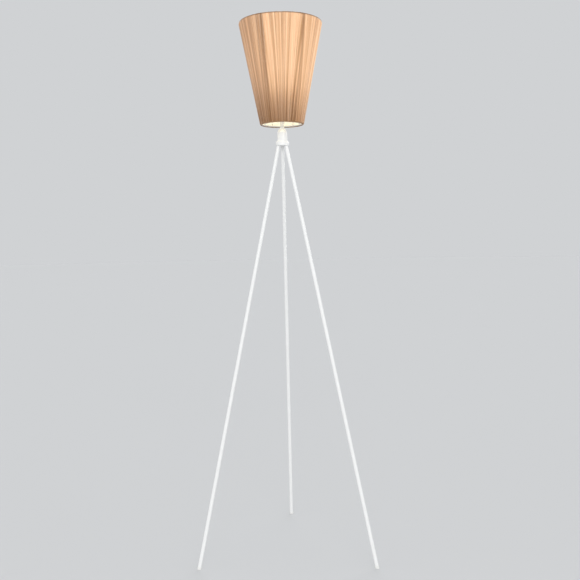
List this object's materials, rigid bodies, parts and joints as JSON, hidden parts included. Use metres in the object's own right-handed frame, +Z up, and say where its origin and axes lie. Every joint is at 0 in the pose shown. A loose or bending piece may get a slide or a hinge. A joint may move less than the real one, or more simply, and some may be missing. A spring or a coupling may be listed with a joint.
{
  "type": "tripod floor lamp",
  "caption": "Floor lamp on three slim splayed legs under a small turned hub, with a conical thread-wound shade, narrow end down, and a slim bulb in a screw lampholder.",
  "frame": {"origin": "on the floor, at the middle of the footprint; the lamp's own axis is a quarter of the foot circle's radius towards -Y", "axes": "+Z up along the lamp's axis, +Y towards the rear leg, +X to the right seen from the front"},
  "size_m": [0.4984, 0.4331, 1.5],
  "materials": {
    "white_coat": "satin white powder coat, very fine orange peel",
    "bush_plastic": "moulded, fine grain",
    "glide_plastic": "moulded nylon, lightly scuffed underneath",
    "zinc_steel": "zinc plated",
    "holder_plastic": "moulded thermoplastic, satin",
    "insert_ceramic": "unglazed",
    "contact_brass": "rolled sheet",
    "shade_wire": "white coated wire",
    "shade_liner": "opal film, lets light through",
    "shade_thread": "wound satin thread, lets light through",
    "bulb_cap_nickel": "nickel plated",
    "bulb_insulator": "black glass-like",
    "bulb_housing": "moulded, semi-gloss",
    "bulb_globe": "opal, lit",
    "led_board": "white solder mask",
    "led_phosphor": "phosphor",
    "driver_board": "green circuit board"
  },
  "bodies": {
    "stand": {"hub_body": "white_coat", "hub_neck_cover": "white_coat", "hub_cable_bush": "bush_plastic", "stem_nipple": "zinc_steel", "nipple_washer": "zinc_steel", "nipple_lock_nut": "zinc_steel", "stem_sleeve": "white_coat", "leg_front_left": "white_coat", "leg_front_right": "white_coat", "leg_rear": "white_coat", "leg_stud_front_left": "zinc_steel", "leg_stud_front_right": "zinc_steel", "leg_stud_rear": "zinc_steel", "foot_glide_front_left": "glide_plastic", "foot_glide_front_right": "glide_plastic", "foot_glide_rear": "glide_plastic", "holder_cap": "holder_plastic", "holder_shell": "holder_plastic", "holder_insert": "insert_ceramic", "holder_screw_shell": "contact_brass", "holder_center_contact": "contact_brass", "holder_terminals": "contact_brass", "holder_terminal_screws": "zinc_steel", "holder_grub_screw": "zinc_steel", "shade_ring_lower": "holder_plastic"},
    "shade_ring": {"shade_ring_upper": "holder_plastic"},
    "shade": {"shade_spider": "shade_wire", "shade_bottom_ring": "shade_wire", "shade_top_ring": "shade_wire", "shade_struts": "shade_wire", "shade_liner": "shade_liner", "shade_thread_wrap": "shade_thread"},
    "bulb": {"bulb_cap": "bulb_cap_nickel", "bulb_insulator": "bulb_insulator", "bulb_contact": "bulb_cap_nickel", "bulb_housing": "bulb_housing", "bulb_led_board": "led_board", "bulb_leds": "led_phosphor", "bulb_driver": "driver_board", "bulb_globe": "bulb_globe"}
  },
  "joints": [
    {"name": "shade_lift", "type": "slide", "parent": "stand", "child": "shade_ring", "axis": [0, 0, 1], "range_m": [0, 0.2]},
    {"name": "shade_turn", "type": "hinge", "parent": "shade_ring", "child": "shade", "pos_m": [0, -0.0703, 1.261], "axis": [0, 0, 1], "continuous": true},
    {"name": "bulb_out", "type": "slide", "parent": "stand", "child": "bulb", "axis": [0, 0, 1], "range_m": [0, 0.25]}
  ]
}
